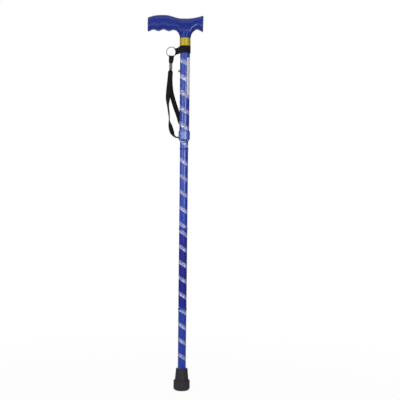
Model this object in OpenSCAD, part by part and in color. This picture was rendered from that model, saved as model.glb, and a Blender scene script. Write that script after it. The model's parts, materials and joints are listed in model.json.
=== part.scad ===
// Folding walking cane: moulded handle, sliding height section and three shock-cord fold joints.
// Millimetres, +Z up. The origin is the centre of the tip's ground face, the handle runs along X.

/* [Lengths] */
// Ground to the lowest fold joint
tip_section_h = 183; // [150:1:220]
// One fold joint to the next
section_len = 179; // [150:1:220]
// Highest fold joint to the foot of the lock nut
nut_rise = 18.2; // [10:0.1:40]
// Foot of the lock nut to the foot of the handle's neck
upper_len = 229.8; // [215:0.1:300]
// Foot of the neck down to the height button
button_drop = 73.5; // [60:0.5:90]
// Inner tube above the height button
inner_over = 29.5; // [20:0.5:30]

/* [Tubes] */
// Outer diameter of the upper tube
upper_od = 22; // [20:0.5:26]
// Wall of every tube
tube_wall = 1.2; // [1:0.1:1.6]
// Radial room between the upper tube and the tube that slides in it
slide_gap = 0.55; // [0.4:0.05:1]

/* [Height setting] */
// Holes for the height button
hole_count = 7; // [3:1:8]
// Spacing of the holes
hole_pitch = 12.7; // [10:0.1:14]
// Diameter of the button
button_d = 5.8; // [4.5:0.1:7]
// Button standing out of the upper tube
button_out = 4; // [2.5:0.1:5]
// Width of the spring leaf that carries the button
leaf_w = 6; // [4:0.5:7]
// Thickness of the spring leaf
leaf_t = 0.6; // [0.4:0.1:0.8]
// Length of the spring leaf's legs
leaf_len = 40; // [30:1:44]

/* [Lock nut] */
// Height of the nut
nut_h = 23.4; // [20:0.1:32]
// Diameter of the nut
nut_d = 25.6; // [25:0.1:30]
// Upper tube's end above the foot of the nut
nut_seat = 9; // [7:0.5:12]
// Rounded shoulder at the head of the nut
nut_round = 3; // [1:0.25:4]
// Slope at the foot of the nut
nut_slope = 4.5; // [2:0.25:6]
// Grip flutes round the nut
flute_count = 24; // [12:1:36]
// Depth of a flute
flute_depth = 0.25; // [0.1:0.05:0.4]

/* [Fold joints] */
// Bead at a fold joint standing proud of the tube
bead_proud = 0.9; // [0.5:0.1:1.5]
// Height of the bead, half on each section
bead_h = 5; // [4:0.5:8]
// Diameter of the plug at the joint
plug_base_d = 14.4; // [13:0.1:14.6]
// Diameter of the plug's nose
plug_nose_d = 8.4; // [7.6:0.1:9]
// Length of the tapered plug
plug_len = 14; // [11:0.5:15]
// Length of the shank that is pressed into the lower tube
shank_len = 20; // [15:1:30]
// Floor of the socket above the plug's nose
socket_floor = 3; // [2:0.5:5]
// Diameter of the elastic cord
cord_d = 4; // [3:0.1:4.4]

/* [Handle] */
// Handle behind the tube's axis, where the fingers close
grip_len = 84; // [75:1:100]
// Handle in front of the tube's axis
horn_len = 40.4; // [38:0.1:50]
// Foot of the neck to the crest of the handle
handle_h = 51.2; // [46:0.1:60]
// Crest of the handle, measured back from the axis
crest_back = 53; // [40:1:60]
// Saddle below the crest
saddle_drop = 7.3; // [4:0.1:10]
// Head of the slope into the saddle, measured back from the axis
saddle_from = 46; // [30:1:50]
// Foot of that slope, measured back from the axis
saddle_to = 8; // [0:1:20]
// Back end below the crest
end_drop = 6; // [2:0.1:9]
// Front horn below the crest
horn_drop = 0; // [0:0.1:5]
// Half of the handle's thickness at the palm
palm_half = 13.4; // [11:0.1:13.8]
// Half of its thickness at the two ends
end_half = 11.5; // [9:0.1:13]
// Depth of the handle at a finger ridge, below the crest
ridge_depth = 36.5; // [32:0.1:40]
// Depth of a finger groove
groove_depth = 3.7; // [2:0.1:6]
// Spacing of the finger ridges
finger_pitch = 23; // [20:0.5:26]
// Neck arches, from the axis to their outer ridges
arch_reach = 37; // [34:0.5:40]
// Rounding of the two ends
end_round = 2.5; // [2:0.25:6]
// Diameter of the neck
neck_d = 24.8; // [23:0.1:26]
// Handle's spigot inside the tube
spigot_len = 28; // [24:1:28]
// Diameter of the hidden cross pin
pin_d = 3; // [2:0.5:4]

/* [Trim and strap] */
// Height of the gold band
band_h = 17.5; // [12:0.5:24]
// Thickness of the gold band
band_t = 1.15; // [0.6:0.05:1.3]
// Height of the webbing round the tube
wrap_h = 16.3; // [15:0.1:24]
// Thickness of the webbing
web_t = 1.4; // [1:0.1:1.6]
// Height of the webbing's side tab at the tube
side_tab_h = 15; // [12:0.5:18]
// Tube's axis to the split ring's hinge side
ring_reach = 19.2; // [18.5:0.1:26]
// Middle diameter of the split ring
ring_d = 22; // [18:0.1:26]
// Wire of the split ring
ring_wire_d = 1.6; // [1.2:0.1:1.8]
// Room for the ring in the webbing that is folded round it
ring_room = 1.8; // [1.7:0.1:2]
// Middle of the ring below the middle of the side tab
ring_droop = 4; // [0:0.1:5]
// Width of the strap's tab below the ring
tab_w = 11; // [8:0.5:12]
// Length of that tab, ring to crimp
tab_len = 15; // [13:0.5:24]
// Width of the metal crimp
crimp_w = 6.9; // [5.6:0.1:8]
// Height of the crimp
crimp_h = 13.9; // [10:0.1:18]
// Crimp's hang to the side of the ring's middle
strap_lean = 1.4; // [0:0.1:3]
// Width of the wrist loop
loop_w = 10.6; // [8:0.1:12]
// Hang of the wrist loop below the crimp
loop_drop = 150; // [145:1:165]

/* [Rubber tip] */
// Height of the tip
tip_h = 50; // [44:1:60]
// Height of its foot
foot_h = 24; // [20:0.5:30]
// Diameter of the foot
foot_d = 36.8; // [32:0.2:37.4]
// Diameter of the collar where it meets the foot
collar_low_d = 30.4; // [27:0.2:32]
// Diameter of the collar at its rim
collar_top_d = 26; // [23:0.2:27]
// Rounded ground edge
foot_round = 7.5; // [3:0.5:9]
// Rubber under the washer
tip_floor = 14; // [10:0.5:18]
// Thickness of the steel washer
washer_t = 1.6; // [1:0.1:2.5]
// Tread grooves in the ground face
tread_count = 3; // [1:1:3]
// Depth of a tread groove
tread_depth = 1.5; // [1:0.1:2.5]

/* [Clearances] */
// Pieces that are pressed or glued together
fit_gap = 0.05; // [0.02:0.01:0.1]
// Pieces that move past each other
run_gap = 0.3; // [0.25:0.05:0.4]

/* [Hidden] */
$fn = 48;
upper_r = upper_od / 2;
upper_ir = upper_r - tube_wall;
lower_r = upper_ir - slide_gap;
lower_ir = lower_r - tube_wall;
bead_r = lower_r + bead_proud;
bead_half = bead_h / 2;
cord_r = cord_d / 2;
cord_room = 0.4;
cord_hole_r = cord_r + cord_room;
overrun = 1;

joint_z = [for (i = [2:-1:0]) tip_section_h + i * section_len];
nut_z = joint_z[0] + nut_rise;
neck_z = nut_z + upper_len;
handle_top = neck_z + handle_h;
button_z = neck_z - button_drop;
inner_top = button_z + inner_over;
tube_end_z = nut_z + nut_seat;
wrap_top = neck_z - band_h;
wrap_z = wrap_top - wrap_h;
tube_foot_z = tip_floor + washer_t + 2 * fit_gap;

plug_base_r = plug_base_d / 2;
plug_nose_r = plug_nose_d / 2;
nose_chamfer = 0.8;
plug_taper = (plug_base_r - plug_nose_r) / plug_len;
bead_edge = 1;
bead_flat = 0.4;
bead_lip = 0.1;
join_above = 1;
cord_join = plug_len + socket_floor + join_above;
knot_swell = 1.9;
knot_r = knot_swell * cord_r;
anchor_h = 8;
anchor_drop = 18;
anchor_rise = 20;
anchor_top_z = button_z - inner_over - anchor_h - anchor_drop;
anchor_low_z = tube_foot_z + anchor_rise;

button_r = button_d / 2;
hole_r = button_r + run_gap;
flange_lip = 0.9;
button_flange_r = button_r + flange_lip;
flange_t = 0.8;
flange_x = sqrt(pow(lower_ir, 2) - pow(button_flange_r, 2)) - fit_gap;

ring_r = ring_d / 2;
ring_tube_r = ring_wire_d / 2;
turn_offset = 0.8 * ring_tube_r;
ring_half_y = turn_offset + ring_tube_r;
ring_x = -ring_reach - ring_r;
tab_sag = 0.9;
side_tab_z = wrap_z - tab_sag;
ring_mid = side_tab_h / 2 - ring_droop;
ring_z = side_tab_z + ring_mid;
loop_hole_r = ring_half_y + ring_room;
loop_out_r = loop_hole_r + web_t;
loop_end_h = 7;
tab_foot_z = ring_z - ring_r - tab_len;
crimp_x = ring_x - strap_lean;
crimp_z = tab_foot_z - crimp_h;
crimp_wall = 0.65;
crimp_room = 0.6;
crimp_round = 1.4;
crimp_slot_w = crimp_w - 2 * crimp_wall;
crimp_slot_y = 2 * web_t + crimp_room;
crimp_entry = 5.5;

// Points of an arc from angle a0 to a1 about the centre c
function arc(c, r, a0, a1, n = 6) =
    [for (k = [0:n]) c + r * [cos(a0 + (a1 - a0) * k / n), sin(a0 + (a1 - a0) * k / n)]];

// Ease from 0 to 1 with level ends
function ease(t) = (1 - cos(180 * t)) / 2;

// Catmull-Rom curve through four values
function through(a, b, c, d, t) =
    b + t * ((c - a) / 2 + t * (a - 2.5 * b + 2 * c - d / 2 + t * (1.5 * (b - c) + (d - a) / 2)));

module pipe(r_out, r_in, z0, z1) {
    translate([0, 0, z0])
        difference() {
            cylinder(r = r_out, h = z1 - z0);
            translate([0, 0, -overrun])
                cylinder(r = r_in, h = z1 - z0 + 2 * overrun);
        }
}

// Crest line of the handle: crest, saddle over the tube, rising horn
horn_curve = 2;
function crest(x) =
    x < -crest_back ? -end_drop * pow((x + crest_back) / (grip_len - crest_back), 2)
    : x < 0 ? -saddle_drop * ease(max(0, min(1, (x + saddle_from) / (saddle_from - saddle_to))))
    : -saddle_drop + (saddle_drop - horn_drop) * pow(x / horn_len, horn_curve);

// Underside of the handle: finger grooves, then one arch on each side that runs down into the neck.
// The arch under the horn is cut a little higher.
arch_lip = 10.5;
arch_mid = arch_reach - arch_lip;
arch_step = 0.3;
arch_foot = neck_d / 2 + arch_step;
arch_drop = 1;
arch_rise = groove_depth - arch_drop;
neck_top = 1.5;
horn_arch = 1.7;
horn_lip = -0.6;
lift_from = 17;
end_flare = 1.4;
function flare(x) =
    end_flare * max(0, (-x - arch_reach - finger_pitch) / (grip_len - arch_reach - finger_pitch));
function groove_share(x) = (-x - arch_reach) / finger_pitch;
function groove(t) = ease(2 * (t - floor(t)));
function horn_lift(x) =
    x < arch_mid ? horn_arch * ease(max(0, (x - lift_from) / (arch_mid - lift_from)))
    : horn_arch - (horn_arch - horn_lip) * (x - arch_mid) / (horn_len - arch_mid);
function arch(x) =
    neck_top - handle_h + (handle_h - neck_top - ridge_depth + arch_rise)
    * sqrt(1 - pow((arch_mid - abs(x)) / (arch_mid - arch_foot), 2));
function underside(x) =
    x < -arch_reach ? -ridge_depth - flare(x) + groove_depth * groove(groove_share(x))
    : x < -arch_mid ? -ridge_depth + arch_rise * ease((arch_reach + x) / arch_lip)
    : x > arch_mid ? -ridge_depth + arch_rise * (1 - pow((x - arch_mid) / arch_lip, 2)) + horn_lift(x)
    : abs(x) > arch_foot ? arch(x) + horn_lift(x)
    : neck_top - handle_h;

// Half thickness along the handle
function half_y(x) =
    let (t = x < -crest_back / 2
        ? (-x - crest_back / 2) / (grip_len - crest_back / 2)
        : (x + crest_back / 2) / (horn_len + crest_back / 2))
    palm_half - (palm_half - end_half) * t * t;

// Rounding of the ends, as an inset of the section
end_softness = 0.8;
function end_inset(x) =
    let (d = min(x + grip_len, horn_len - x))
    d > end_round ? 0 : end_round * end_softness * (1 - sqrt(1 - pow(1 - max(d, 0) / end_round, 2)));

// One section of the grip: a full oval whose front end leans with the horn
section_points = 24;
oval = 0.8;
horn_lean = 0.02;
function signed_pow(v, p) = sign(v) * pow(abs(v), p);
function grip_section(x) =
    let (
        i = end_inset(x),
        top = crest(x) - i,
        low = underside(x) + i,
        w = half_y(x) - i,
        lean = horn_lean * max(0, (x - arch_mid) / (horn_len - arch_mid))
    )
    [for (k = [0:section_points - 1])
        let (
            a = 360 * (k + 0.5) / section_points,
            z = (top + low) / 2 + (top - low) / 2 * signed_pow(sin(a), oval)
        )
        [x + lean * z, w * signed_pow(cos(a), oval), z]];

module grip() {
    end_steps = [0, 0.04, 0.15, 0.35, 0.65];
    mid_count = 56;
    x0 = -grip_len + end_round;
    x1 = horn_len - end_round;
    stations = concat(
        [for (e = end_steps) -grip_len + e * end_round],
        [for (k = [0:mid_count]) x0 + (x1 - x0) * k / mid_count],
        [for (k = [len(end_steps) - 1:-1:0]) horn_len - end_steps[k] * end_round]);
    m = section_points;
    last = len(stations) - 1;
    points = [for (x = stations) each grip_section(x)];
    sides = [for (s = [0:last - 1], k = [0:m - 1])
        [s * m + k, s * m + (k + 1) % m, (s + 1) * m + (k + 1) % m, (s + 1) * m + k]];
    back = [for (k = [0:m - 1]) k];
    front = [for (k = [m - 1:-1:0]) last * m + k];
    triangles = [for (q = sides) each [[q[2], q[1], q[0]], [q[3], q[2], q[0]]]];
    polyhedron(points = points, faces = concat(triangles, [back], [front]));
}

pin_z = neck_z - band_h / 2;

module pin_bore(extra = 0) {
    translate([0, 0, pin_z])
        rotate([90, 0, 0])
            cylinder(r = pin_d / 2 + extra, h = 2 * upper_od, center = true);
}

module handle() {
    neck_sink = 10;
    color("#2B348F")
        difference() {
            union() {
                translate([0, 0, handle_top])
                    grip();
                translate([0, 0, neck_z])
                    cylinder(r = neck_d / 2, h = neck_top + neck_sink);
                translate([0, 0, neck_z - spigot_len])
                    cylinder(r = upper_ir - fit_gap, h = spigot_len + overrun);
            }
            pin_bore(fit_gap);
        }
}

module handle_pin() {
    pin_inset = 0.2;
    color("#9A9A9A")
        intersection() {
            pin_bore();
            translate([0, 0, pin_z - pin_d])
                cylinder(r = upper_r - pin_inset, h = 2 * pin_d);
        }
}

// Gold band with a rolled edge at its top and its foot
module handle_band() {
    r_in = upper_r + fit_gap;
    roll = band_t / 2;
    sheet_t = 0.8 * band_t;
    color("#C9B832")
        translate([0, 0, wrap_top])
            rotate_extrude()
                union() {
                    translate([r_in, 0])
                        square([sheet_t, band_h]);
                    for (z = [roll, band_h - roll])
                        translate([r_in + roll, z])
                            circle(r = roll);
                }
}

module upper_tube() {
    color("#3A3FA0")
        difference() {
            pipe(upper_r, upper_ir, tube_end_z, neck_z);
            pin_bore(fit_gap);
            for (i = [0:hole_count - 1])
                translate([0, 0, button_z - i * hole_pitch])
                    rotate([0, -90, 0])
                        cylinder(r = hole_r, h = upper_od);
        }
}

// Webbing wrapped round the tube, with its two ends sewn to a side tab that holds the split ring
module strap_band() {
    r_in = upper_r + fit_gap;
    wrap_t = 0.9 * web_t;
    r_out = r_in + wrap_t;
    lead_r = r_in + wrap_t / 3;
    lead_turn = 43;
    lead = lead_r * [cos(lead_turn), sin(lead_turn)];
    throat = 2;
    throat_x = -r_out - throat;
    neck_x = -ring_reach + loop_out_r - web_t / 2;
    color("#1E191F")
        difference() {
            union() {
                translate([0, 0, wrap_z])
                    cylinder(r = r_out, h = wrap_h);
                intersection() {
                    translate([0, 0, side_tab_z - ring_droop])
                        linear_extrude(side_tab_h + ring_droop)
                            union() {
                                polygon([-lead, [throat_x, -web_t], [neck_x, -web_t],
                                    [neck_x, web_t], [throat_x, web_t], [-lead[0], lead[1]]]);
                                translate([-ring_reach, 0])
                                    circle(r = loop_out_r);
                            }
                    translate([0, r_out, side_tab_z])
                        rotate([90, 0, 0])
                            linear_extrude(2 * r_out)
                                polygon([[0, 0], [-r_out, 0],
                                    [-ring_reach - loop_out_r, ring_mid - loop_end_h / 2],
                                    [-ring_reach - loop_out_r, ring_mid + loop_end_h / 2],
                                    [-r_out, side_tab_h], [0, side_tab_h]]);
                }
            }
            translate([0, 0, wrap_z - overrun])
                cylinder(r = r_in, h = wrap_h + 2 * overrun);
            translate([-ring_reach, 0, side_tab_z - ring_droop - overrun])
                cylinder(r = loop_hole_r, h = side_tab_h + ring_droop + 2 * overrun);
        }
}

// Split cone that the nut squeezes against the inner tube
collet_rise = 2;
collet_lip = 0.7;
collet_inset = 0.2;

module lock_collet() {
    r_in = lower_r + run_gap / 2;
    z0 = nut_z + collet_rise;
    z1 = tube_end_z - 2 * fit_gap;
    slit = 1.5;
    color("#20242C")
        difference() {
            rotate_extrude()
                polygon([[r_in, z0], [lower_r + collet_lip, z0], [upper_r - collet_inset, z1], [r_in, z1]]);
            translate([0, -slit / 2, z0 - overrun])
                cube([upper_od, slit, z1 - z0 + 2 * overrun]);
        }
}

// Twist nut with a rounded head, a sloped foot and shallow grip flutes
module lock_nut() {
    r = nut_d / 2;
    bore = upper_r + run_gap;
    foot_bore = lower_r + run_gap;
    foot_lip = 0.9;
    foot_t = 1.2;
    foot_edge = 2;
    foot_turn = 50;
    head_turn = 60;
    chamfer = 0.2;
    cone_gap = 0.4;
    flute_r = 0.8;
    flute_end = 2;
    color("#5566C4")
        difference() {
            translate([0, 0, nut_z])
                rotate_extrude()
                    polygon(concat(
                        [[foot_bore, 0], [foot_bore + foot_lip, 0]],
                        arc([r - foot_edge, nut_slope], foot_edge, -foot_turn, 0, 4),
                        arc([r - nut_round, nut_h - nut_round], nut_round, 0, head_turn),
                        [[bore + chamfer, nut_h], [bore, nut_h - chamfer], [bore, nut_seat],
                        [upper_r + run_gap / 2, nut_seat - chamfer],
                        [lower_r + collet_lip + cone_gap, collet_rise - chamfer], [foot_bore, foot_t]]));
            for (i = [0:flute_count - 1])
                rotate([0, 0, 360 * i / flute_count])
                    translate([r + flute_r - flute_depth, 0, nut_z + nut_slope + flute_end])
                        cylinder(r = flute_r, h = nut_h - nut_slope - nut_round - 2 * flute_end, $fn = 16);
        }
}

// Two turns of wire, pressed flat against each other
module split_ring() {
    color("#B9B9B5")
        translate([ring_x, 0, ring_z])
            rotate([90, 0, 0])
                rotate_extrude()
                    for (s = [-1, 1])
                        translate([ring_r, s * turn_offset])
                            circle(r = ring_tube_r, $fn = 24);
}

// Webbing folded round the ring, narrowing into the crimp
module strap_tab() {
    ring_sag = 0.4;
    ring_low = ring_z - ring_r + ring_sag;
    foot = tab_foot_z - crimp_entry;
    side_room = 0.15;
    slot_half = crimp_slot_w / 2 - side_room;
    slot_lead = 0.2;
    gather_half = tab_w / 3;
    gather_h = 1.5;
    taper_drop = 8;
    head_z = ring_low + loop_out_r + overrun;
    function lean_at(z) = -strap_lean * max(0, min(1, (ring_low - z) / (ring_low - tab_foot_z)));
    halves = [[tab_w / 2, head_z], [tab_w / 2, ring_low - taper_drop], [gather_half, tab_foot_z + gather_h],
        [slot_half, tab_foot_z + slot_lead], [slot_half, foot]];
    left = [for (h = halves) [lean_at(h[1]) - h[0], h[1]]];
    right = [for (k = [len(halves) - 1:-1:0]) [lean_at(halves[k][1]) + halves[k][0], halves[k][1]]];
    color("#1E191F")
        translate([ring_x, 0, 0])
            difference() {
                intersection() {
                    translate([-tab_w, 0, 0])
                        rotate([90, 0, 90])
                            linear_extrude(2 * tab_w)
                                union() {
                                    translate([0, ring_low])
                                        circle(r = loop_out_r);
                                    translate([-web_t, foot])
                                        square([2 * web_t, ring_low - foot]);
                                }
                    translate([0, loop_out_r + overrun, 0])
                        rotate([90, 0, 0])
                            linear_extrude(2 * loop_out_r + 2 * overrun)
                                polygon(concat(left, right));
                }
                translate([0, 0, ring_low])
                    rotate([0, 90, 0])
                        cylinder(r = loop_hole_r, h = 3 * tab_w, center = true);
            }
}

module rounded_bar(w, d, r) {
    square([w - 2 * r, d], center = true);
    square([w, d - 2 * r], center = true);
    for (x = [-1, 1], y = [-1, 1])
        translate([x * (w / 2 - r), y * (d / 2 - r)])
            circle(r = r);
}

// Metal clip pressed round the two ends of the wrist loop and the foot of the tab
module strap_crimp() {
    color("#8E8A7D")
        translate([crimp_x, 0, crimp_z])
            linear_extrude(crimp_h)
                difference() {
                    rounded_bar(crimp_w, crimp_slot_y + 2 * crimp_wall, crimp_round);
                    square([crimp_slot_w, crimp_slot_y], center = true);
                }
}

// Route of the wrist loop, as it hangs: across from the crimp, back from it, down from it, turn of the
// webbing about its own run, and its width there. It goes down on the left and comes up behind the tube.
// The places are those of the loop as it was drawn, and grow with loop_drop.
loop_route = [
    [0, -0.85, -5.5, 0, 0.46], [0, -0.95, 0.2, 0, 0.48], [-0.7, -1.2, 4.4, 0, 0.96],
    [-1.2, -1.4, 12, 0, 1], [-2.1, -1.5, 23, 0, 1], [-3.7, -1.5, 38, 2, 1], [-4.9, -1.3, 52, 6, 1],
    [-5.5, -0.9, 61, 14, 1], [-5.7, -0.2, 68.5, 40, 1], [-5.6, 0.6, 76, 62, 1], [-4.6, 1.6, 86, 73, 1],
    [-3.2, 2.9, 96, 75, 1], [-2.2, 4.4, 108, 83, 1], [-1.9, 5.6, 115, 77, 1], [-0.6, 6.9, 121.5, 52, 1],
    [1.4, 8.6, 129.5, 25, 1], [3.9, 11, 137.5, 22, 1], [7.4, 13.8, 145, 62, 1],
    [12.4, 16.4, 149.2, 79, 1], [18, 18.2, 150, 80, 1], [25, 19.8, 148.4, 76, 1],
    [30.6, 20.8, 142.8, 56, 1], [32.4, 21, 135, 36, 1], [29.8, 20.4, 125, 16, 1], [23, 18.6, 116, 2, 1],
    [18.8, 16.6, 103, 0, 1], [13.9, 13.6, 89.5, 0, 1], [9.1, 10.6, 76, 0, 1], [4.8, 7.6, 62, 0, 1],
    [1.9, 5.4, 51, 0, 1], [-0.1, 3.9, 38, 0, 1], [-1, 2.7, 23, 0, 1], [-0.8, 1.9, 12, 0, 1],
    [-0.3, 1.4, 4.4, 0, 0.96], [0, 0.95, 0.2, 0, 0.48], [0, 0.85, -5.5, 0, 0.46]
];
drawn_drop = max([for (p = loop_route) p[2]]);
route_steps = 3;
function route_at(i) = loop_route[max(0, min(len(loop_route) - 1, i))];
function route_point(i, t) =
    through(route_at(i - 1), route_at(i), route_at(i + 1), route_at(i + 2), t);
function flat_run(a, b) = let (d = [b[0] - a[0], a[2] - b[2]]) d / norm(d);

module wrist_loop() {
    route = [for (i = [0:len(loop_route) - 2], k = [0:route_steps - 1]) route_point(i, k / route_steps),
        loop_route[len(loop_route) - 1]];
    last = len(route) - 1;
    grow = loop_drop / drawn_drop;
    corners = [[-1, -1], [1, -1], [1, 1], [-1, 1]];
    points = [for (i = [0:last])
        let (
            p = route[i],
            run = flat_run(route[max(0, i - 1)], route[min(last, i + 1)]),
            across = [run[1] * cos(p[3]), sin(p[3]), -run[0] * cos(p[3])],
            face = [-run[1] * sin(p[3]), cos(p[3]), run[0] * sin(p[3])]
        )
        for (c = corners)
            grow * [p[0], p[1], -p[2]] + across * c[0] * p[4] * loop_w / 2 + face * c[1] * web_t / 2];
    sides = [for (i = [0:last - 1], k = [0:3])
        [i * 4 + k, i * 4 + (k + 1) % 4, i * 4 + 4 + (k + 1) % 4, i * 4 + 4 + k]];
    triangles = [for (q = sides) each [[q[2], q[1], q[0]], [q[3], q[2], q[0]]]];
    color("#1E191F")
        translate([crimp_x, 0, crimp_z])
            polyhedron(points = points,
                faces = concat(triangles, [[0, 1, 2, 3], [for (k = [3:-1:0]) last * 4 + k]]));
}

module lower_tube(z0, z1) {
    color("#3A3FA0")
        pipe(lower_r, lower_ir, z0, z1);
}

module inner_tube() {
    difference() {
        lower_tube(joint_z[0] + bead_half, inner_top);
        translate([0, 0, button_z])
            rotate([0, -90, 0])
                cylinder(r = hole_r, h = upper_od);
    }
}

// Cap that centres the inner tube in the upper one
module guide_cap() {
    cap_t = 3;
    skirt = 8;
    skirt_wall = 1.6;
    color("#20242C")
        rotate_extrude()
            polygon([[cord_hole_r, inner_top + cap_t], [upper_ir - run_gap, inner_top + cap_t],
                [upper_ir - run_gap, inner_top + fit_gap], [lower_ir - fit_gap, inner_top + fit_gap],
                [lower_ir - fit_gap, inner_top - skirt], [lower_ir - skirt_wall, inner_top - skirt],
                [lower_ir - skirt_wall, inner_top], [cord_hole_r, inner_top]]);
}

// Bent steel leaf: one leg carries the button, the other leans on the far wall
module button_spring() {
    bend_r = 3;
    leaf_rise = 12;
    knee_drop = 5;
    z1 = button_z + leaf_rise;
    z0 = z1 - leaf_len;
    knee_z = button_z - knee_drop;
    back_x = sqrt(pow(lower_ir, 2) - pow(leaf_w / 2, 2)) - fit_gap;
    button_x = -flange_x + flange_t + fit_gap;
    color("#A9ABAD")
        translate([0, leaf_w / 2, 0])
            rotate([90, 0, 0])
                linear_extrude(leaf_w)
                    polygon(concat(
                        [[button_x, z1], [button_x, knee_z]],
                        arc([0, z0], bend_r, 180, 360, 8),
                        [[back_x, knee_z], [back_x, z1], [back_x - leaf_t, z1], [back_x - leaf_t, knee_z]],
                        arc([0, z0], bend_r - leaf_t, 360, 180, 8),
                        [[button_x + leaf_t, knee_z], [button_x + leaf_t, z1]]));
}

// Domed snap button with the flange that keeps it in the inner tube
module height_button() {
    tip_x = upper_r + button_out;
    dome = 0.8 * button_r;
    dome_steps = 6;
    color("#AFA460")
        translate([0, 0, button_z])
            rotate([0, -90, 0])
                rotate_extrude()
                    polygon(concat(
                        [[0, flange_x - flange_t], [button_flange_r, flange_x - flange_t],
                        [button_flange_r, flange_x], [button_r, flange_x]],
                        [for (k = [0:dome_steps]) let (a = 90 * k / dome_steps)
                            [button_r * cos(a), tip_x - dome + dome * sin(a)]]));
}

// Disc pressed into a tube, through which the cord is knotted
module cord_anchor(z0) {
    color("#20242C")
        pipe(lower_ir - fit_gap, cord_hole_r, z0, z0 + anchor_h);
}

module cord(z0, z1) {
    color("#15151A")
        translate([0, 0, z0])
            cylinder(r = cord_r, h = z1 - z0);
}

module knot(z) {
    color("#15151A")
        translate([0, 0, z])
            sphere(r = knot_r);
}

module cord_upper() {
    cord(joint_z[0] + cord_join, anchor_top_z + anchor_h + knot_r);
    knot(anchor_top_z + anchor_h + knot_r + fit_gap);
}

module cord_section(i) {
    cord(joint_z[i] + cord_join, joint_z[i - 1] - shank_len - 2 * fit_gap);
}

module cord_fourth() {
    cord(anchor_low_z - knot_r, joint_z[2] - shank_len - 2 * fit_gap);
    knot(anchor_low_z - knot_r - fit_gap);
}

// Stretch of the cord inside the joint, which shows when the joint is pulled apart
module cord_link(i) {
    cord(joint_z[i] - shank_len, joint_z[i] + cord_join - 2 * fit_gap);
}

// Socket at the foot of a tube: half of the bead, and a tapered seat for the plug below
module socket_bush(i) {
    mouth = plug_base_r + run_gap;
    seat = plug_nose_r + run_gap;
    top = plug_len + run_gap + socket_floor;
    color("#3A3FA0")
        translate([0, 0, joint_z[i]])
            rotate_extrude()
                polygon(concat(
                    [[mouth, 0], [bead_r - bead_edge, 0]],
                    arc([bead_r - bead_edge, bead_edge], bead_edge, -90, 0, 4),
                    [[bead_r, bead_edge + bead_flat], [lower_r + bead_lip, bead_half - fit_gap],
                    [lower_ir - fit_gap, bead_half - fit_gap], [lower_ir - fit_gap, top], [cord_hole_r, top],
                    [cord_hole_r, plug_len + run_gap], [seat, plug_len + run_gap]]));
}

// Tapered plug at the head of a tube, with the other half of the bead
module joint_plug(i) {
    color("#2E3286")
        translate([0, 0, joint_z[i]])
            rotate_extrude()
                polygon(concat(
                    [[cord_hole_r, plug_len], [cord_hole_r, -shank_len], [lower_ir - fit_gap, -shank_len],
                    [lower_ir - fit_gap, -bead_half + fit_gap], [lower_r + bead_lip, -bead_half + fit_gap],
                    [bead_r, -bead_edge - bead_flat]],
                    arc([bead_r - bead_edge, -bead_edge - fit_gap], bead_edge, 0, 90, 4),
                    [[plug_base_r, -fit_gap],
                    [plug_nose_r + nose_chamfer * plug_taper, plug_len - nose_chamfer],
                    [plug_nose_r - nose_chamfer, plug_len]]));
}

module second_tube() {
    lower_tube(joint_z[1] + bead_half, joint_z[0] - bead_half);
}

module third_tube() {
    lower_tube(joint_z[2] + bead_half, joint_z[1] - bead_half);
}

module fourth_tube() {
    lower_tube(tube_foot_z, joint_z[2] - bead_half);
}

module tip_washer() {
    washer_hole_r = lower_r / 3;
    color("#9A9A9A")
        pipe(lower_r, washer_hole_r, tip_floor + fit_gap, tip_floor + fit_gap + washer_t);
}

// Rubber tip: rounded foot, stepped collar that grips the tube, ring grooves in the ground face
module rubber_tip() {
    foot_r = foot_d / 2;
    bore = lower_r + fit_gap;
    rim = 1.2;
    rim_turn = 10;
    shoulder = 2;
    shoulder_turn = 80;
    foot_draft = 0.2;
    step_rise = 0.4;
    groove_w = 1.6;
    tread_r = foot_r - foot_round - 2 * groove_w;
    color("#36353A")
        difference() {
            rotate_extrude()
                polygon(concat(
                    [[0, 0]],
                    arc([foot_r - foot_round, foot_round], foot_round, -90, 0, 8),
                    arc([foot_r - shoulder - foot_draft, foot_h - shoulder], shoulder, 0, shoulder_turn),
                    [[collar_low_d / 2, foot_h + step_rise]],
                    arc([collar_top_d / 2 - rim, tip_h - rim], rim, rim_turn, 90, 4),
                    [[bore, tip_h], [bore, tip_floor], [0, tip_floor]]));
            for (i = [1:tread_count])
                pipe(tread_r * i / tread_count + groove_w, tread_r * i / tread_count, -overrun, tread_depth);
        }
}

handle();
handle_pin();
handle_band();
upper_tube();
strap_band();
lock_collet();
lock_nut();
split_ring();
strap_tab();
strap_crimp();
wrist_loop();
inner_tube();
guide_cap();
button_spring();
height_button();
cord_anchor(anchor_top_z);  // cord_anchor_top
cord_upper();
for (i = [0:2]) {
    socket_bush(i);
    cord_link(i);
    joint_plug(i);
}
second_tube();
cord_section(1);  // cord_second
third_tube();
cord_section(2);  // cord_third
fourth_tube();
cord_fourth();
cord_anchor(anchor_low_z);  // cord_anchor_bottom
tip_washer();
rubber_tip();
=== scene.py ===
import json
import math

import bmesh
import bpy
import numpy as np
from mathutils import Matrix, Quaternion, Vector

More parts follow.
